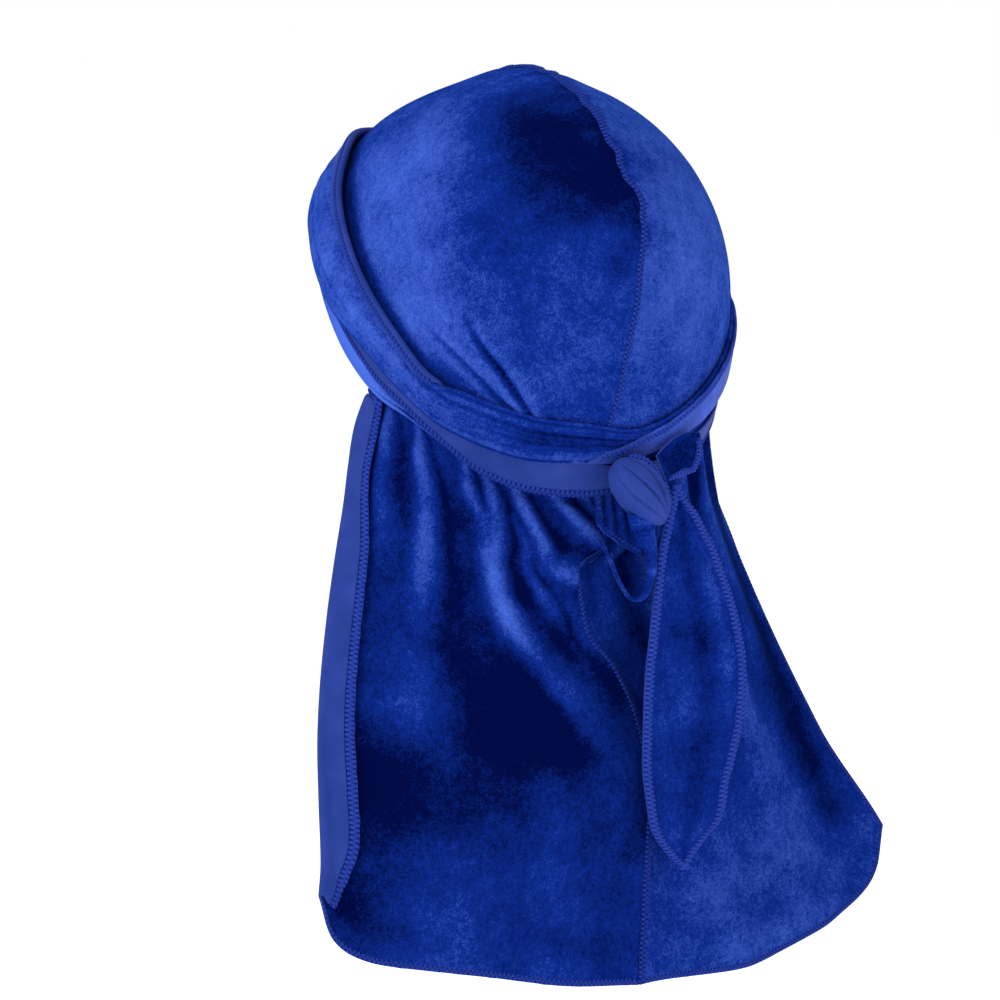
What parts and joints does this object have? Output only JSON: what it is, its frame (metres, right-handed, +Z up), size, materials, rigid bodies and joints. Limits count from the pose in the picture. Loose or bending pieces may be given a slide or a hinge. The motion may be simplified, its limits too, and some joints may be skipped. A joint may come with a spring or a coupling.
{
  "type": "durag",
  "caption": "Velvet durag in its worn shape, tied at the nape, with a crown seam, wrapped ties, a knot and a long flared cape over the neck.",
  "frame": {"origin": "centre of the head space at its widest level", "axes": "+Z up, the forehead faces -Y, the cape hangs at +Y, the wearer's left is +X"},
  "size_m": [0.2672, 0.2022, 0.3609],
  "materials": {
    "velvet": "royal blue stretch velvet with a soft nap",
    "cloth_reverse": "matt knitted reverse of the velvet",
    "overlock_thread": "overlock thread"
  },
  "bodies": {
    "root": {"panel_left": "velvet", "panel_right": "velvet", "crown_seam": "overlock_thread", "cape_seam": "overlock_thread", "upper_wrap": "velvet", "lower_wrap": "cloth_reverse", "knot": "cloth_reverse", "long_tie_end": "velvet", "short_tie_end": "velvet", "tie_loop": "velvet"}
  },
  "joints": []
}
